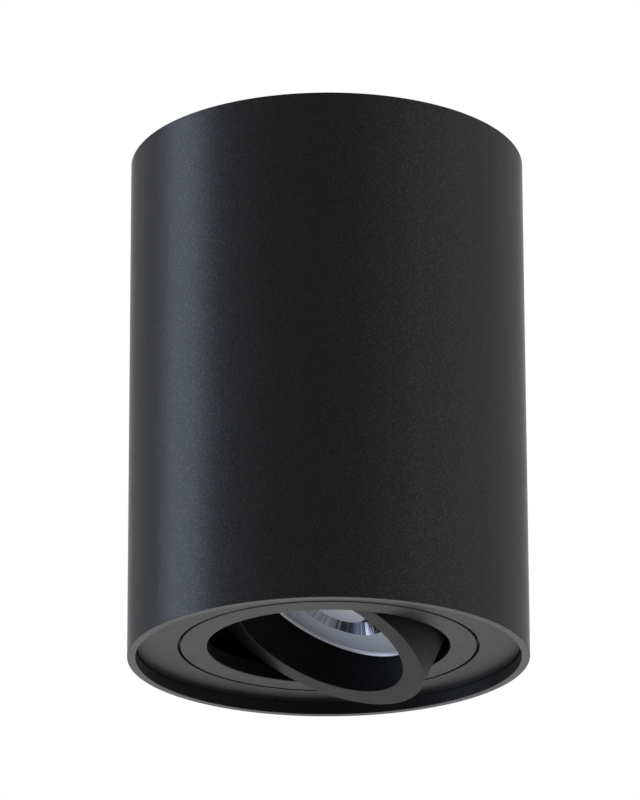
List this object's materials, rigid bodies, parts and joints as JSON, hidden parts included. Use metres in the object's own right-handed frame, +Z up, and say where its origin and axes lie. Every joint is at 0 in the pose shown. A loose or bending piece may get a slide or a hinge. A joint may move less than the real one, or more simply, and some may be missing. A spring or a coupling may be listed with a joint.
{
  "type": "surface mounted ceiling spotlight",
  "caption": "Round surface mounted ceiling spotlight: plain tube housing, recessed face plate, swivel ring and tilting cup with a twist-lock reflector lamp.",
  "frame": {"origin": "centre of the bracket's two ceiling slots, on the housing's axis and on the ceiling plane", "axes": "+Z up into the ceiling, along the housing's axis; X through the two ceiling slots and the two side set screws; -Y towards the picture's viewer"},
  "size_m": [0.096, 0.096, 0.1329],
  "materials": {
    "housing_powder_coat": "satin black fine textured powder coat",
    "plate_powder_coat": "satin black powder coat",
    "cup_powder_coat": "satin black powder coat",
    "bracket_steel": "zinc plated sheet steel",
    "spring_steel": "bright spring steel",
    "screw_steel": "zinc plated",
    "lug_tin": "tinned",
    "brass": "plain brass",
    "pin_nickel": "nickel plated",
    "block_nylon": "natural nylon",
    "washer_nylon": "natural nylon",
    "earth_insulation": "green and yellow insulation",
    "lead_insulation": "silicone insulation",
    "sleeve_glass_braid": "braided glass sleeve",
    "lamp_plastic": "white thermoplastic over aluminium",
    "lamp_base_plastic": "white moulded plastic",
    "lens_clear": "clear moulded optic",
    "board_white": "white solder mask",
    "board_green": "green solder mask",
    "led_phosphor": "phosphor coated chip",
    "driver_parts": "moulded components",
    "steatite": "unglazed steatite"
  },
  "bodies": {
    "root": {"housing_tube": "housing_powder_coat", "mounting_bracket": "bracket_steel", "side_screws": "screw_steel", "terminal_block": "block_nylon", "terminal_tubes": "brass", "terminal_screws": "screw_steel", "block_screw": "screw_steel", "earth_lug": "lug_tin", "earth_washer": "screw_steel", "earth_screw": "screw_steel", "earth_wire": "earth_insulation", "lamp_leads": "lead_insulation", "lead_sleeve_upper": "sleeve_glass_braid", "face_plate": "plate_powder_coat", "plate_clips": "spring_steel", "clip_screws": "screw_steel"},
    "swivel": {"swivel_ring": "plate_powder_coat", "swivel_retainer": "plate_powder_coat", "retainer_screws": "screw_steel", "lead_sleeve_lower": "sleeve_glass_braid"},
    "cup": {"tilt_cup": "cup_powder_coat", "pivot_screws": "screw_steel", "friction_washers": "washer_nylon", "lamp_clip": "spring_steel", "lamp_shell": "lamp_plastic", "lamp_lens": "lens_clear", "led_board": "board_white", "led_chips": "led_phosphor", "driver_board": "board_green", "driver_parts": "driver_parts", "lamp_base": "lamp_base_plastic", "lamp_pins": "pin_nickel", "lampholder_body": "steatite", "lampholder_contacts": "brass", "lampholder_cover": "steatite", "lampholder_rivets": "pin_nickel"}
  },
  "joints": [
    {"name": "swivel_turn", "type": "hinge", "parent": "root", "child": "swivel", "pos_m": [0, 0, -0.1219], "axis": [0, 0, 1], "range_deg": [-174, 174]},
    {"name": "cup_tilt", "type": "hinge", "parent": "swivel", "child": "cup", "pos_m": [0, 0, -0.1158], "axis": [-0.3955, 0.9184, 0], "range_deg": [-55.9, 4.1], "deforming": ["lead_sleeve_lower"]}
  ]
}
